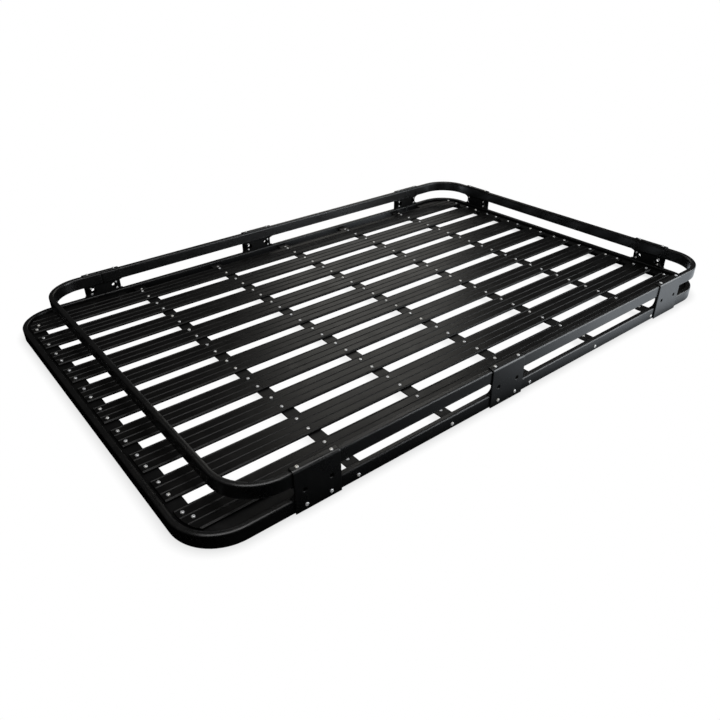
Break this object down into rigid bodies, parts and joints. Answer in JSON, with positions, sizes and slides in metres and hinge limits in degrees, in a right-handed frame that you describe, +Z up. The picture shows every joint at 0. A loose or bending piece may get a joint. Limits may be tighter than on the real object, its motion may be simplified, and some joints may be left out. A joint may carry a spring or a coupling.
{
  "type": "roof rack",
  "caption": "Flat two-tier roof rack with a ribbed slatted deck, rounded tube rings, flat crossbars and bolted side brackets; front of the upper ring set back.",
  "frame": {"origin": "on the floor, under the middle of the rack's box", "axes": "+X along the rack towards its rear, +Y towards its right side, +Z up"},
  "size_m": [1.9053, 1.2596, 0.1158],
  "materials": {
    "rails": "black powder coat, satin gloss",
    "planks": "aluminium extrusion, black powder coat, satin",
    "crossbars": "black powder coat, satin",
    "cleats": "black powder coat, satin",
    "brackets": "black powder coat, satin gloss",
    "spacers": "cast aluminium, black powder coat, satin"
  },
  "bodies": {
    "root": {"lower_rail_front": "rails", "lower_rail_rear": "rails", "lower_rail_left": "rails", "lower_rail_right": "rails", "upper_rail_front": "rails", "upper_rail_rear": "rails", "upper_rail_left": "rails", "upper_rail_right": "rails", "plank_1": "planks", "plank_2": "planks", "plank_3": "planks", "plank_4": "planks", "plank_5": "planks", "plank_6": "planks", "plank_7": "planks", "plank_8": "planks", "plank_9": "planks", "plank_10": "planks", "crossbar_front": "crossbars", "crossbar_1": "crossbars", "crossbar_2": "crossbars", "crossbar_3": "crossbars", "crossbar_4": "crossbars", "crossbar_5": "crossbars", "crossbar_rear": "crossbars", "cleats_left": "cleats", "cleats_right": "cleats", "corner_plate_left": "crossbars", "corner_plate_right": "crossbars", "bracket_left_front": "brackets", "bracket_left_middle": "brackets", "bracket_left_rear": "brackets", "bracket_right_front": "brackets", "bracket_right_middle": "brackets", "bracket_right_rear": "brackets", "bracket_rear_left": "brackets", "bracket_rear_right": "brackets", "spacer_left_front": "spacers", "spacer_left_middle": "spacers", "spacer_left_rear": "spacers", "spacer_right_front": "spacers", "spacer_right_middle": "spacers", "spacer_right_rear": "spacers", "spacer_rear_left": "spacers", "spacer_rear_right": "spacers"}
  },
  "joints": []
}
